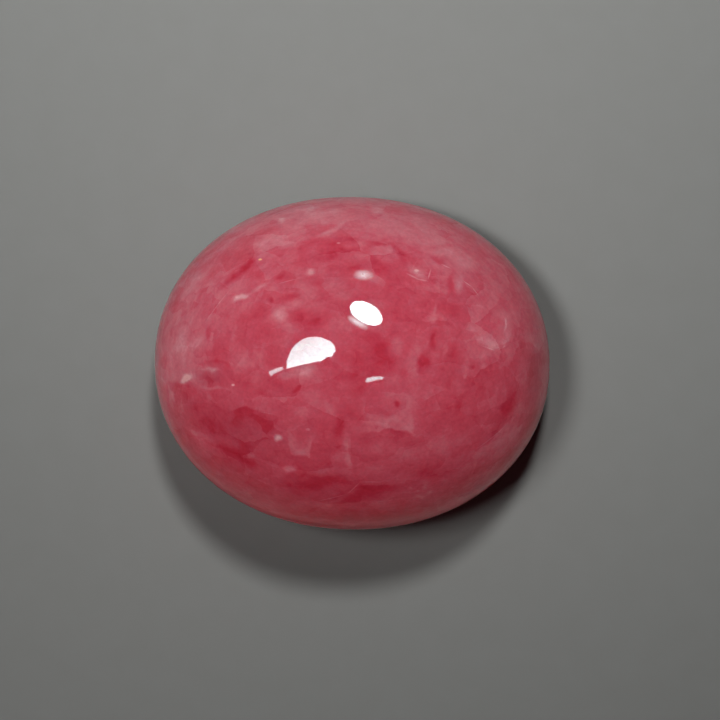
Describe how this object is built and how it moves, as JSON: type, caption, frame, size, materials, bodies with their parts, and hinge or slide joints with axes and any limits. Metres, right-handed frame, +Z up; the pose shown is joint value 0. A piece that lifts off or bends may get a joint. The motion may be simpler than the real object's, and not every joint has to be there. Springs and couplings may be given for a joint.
{
  "type": "oval cabochon",
  "caption": "Loose oval cabochon of cloudy raspberry-pink rhodochrosite: a high polished dome on a rounded underside, with a flat ground base to rest on or set in jewellery.",
  "frame": {"origin": "middle of the flat base", "axes": "+X along the long axis of the oval, +Y along its short axis, +Z up through the top of the dome"},
  "size_m": [0.02, 0.0168, 0.0098],
  "materials": {
    "rhodochrosite": "high polish, translucent, with milky pink clouds and deep red windows"
  },
  "bodies": {
    "root": {"cabochon": "rhodochrosite"}
  },
  "joints": []
}
